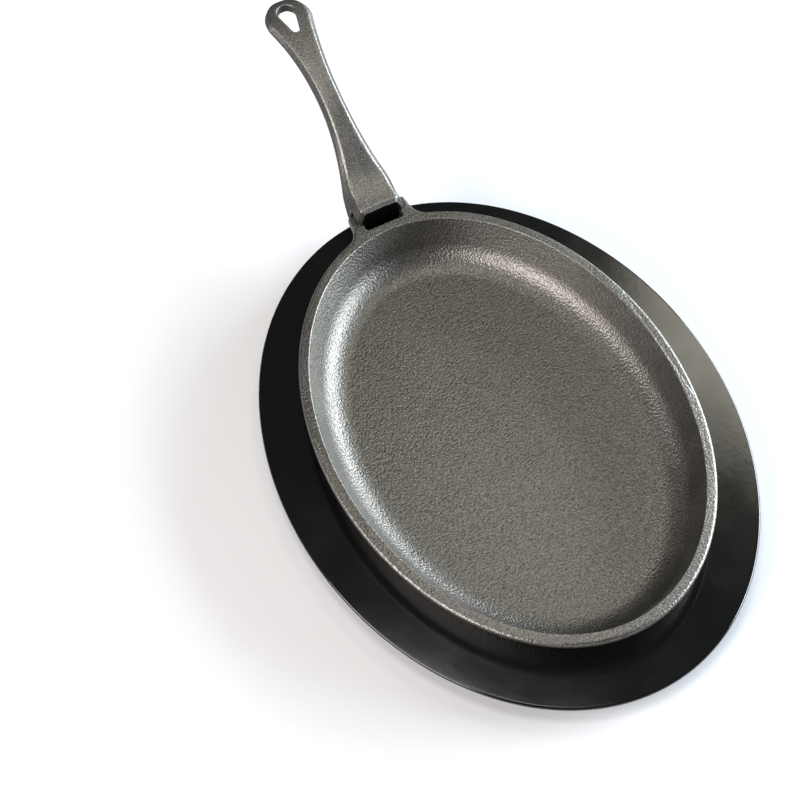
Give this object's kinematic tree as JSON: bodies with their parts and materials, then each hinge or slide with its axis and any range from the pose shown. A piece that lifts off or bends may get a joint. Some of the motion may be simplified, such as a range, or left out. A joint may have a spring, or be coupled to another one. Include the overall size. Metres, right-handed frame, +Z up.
{
  "type": "cast iron skillet",
  "caption": "Oval cast iron skillet with a hook-on cast iron grip handle, standing in the well of an oval moulded underliner tray.",
  "frame": {"origin": "middle of the underliner's resting face", "axes": "+X along the oval's long axis away from the handle, +Z up"},
  "size_m": [0.4546, 0.254, 0.0922],
  "materials": {
    "pan_iron": "seasoned, pebbled, satin",
    "grip_iron": "seasoned, pebbled, satin",
    "tray_gloss": "polished black moulding"
  },
  "bodies": {
    "tray": {"underliner": "tray_gloss"},
    "pan": {"skillet_pan": "pan_iron"},
    "grip": {"grip_handle": "grip_iron"}
  },
  "joints": [
    {"name": "pan_lift", "type": "slide", "parent": "tray", "child": "pan", "axis": [0, 0, 1], "range_m": [0, 0.08]},
    {"name": "grip_tilt", "type": "hinge", "parent": "pan", "child": "grip", "pos_m": [-0.1496, 0, 0.0353], "axis": [0, 1, 0], "range_deg": [0, 30]}
  ]
}
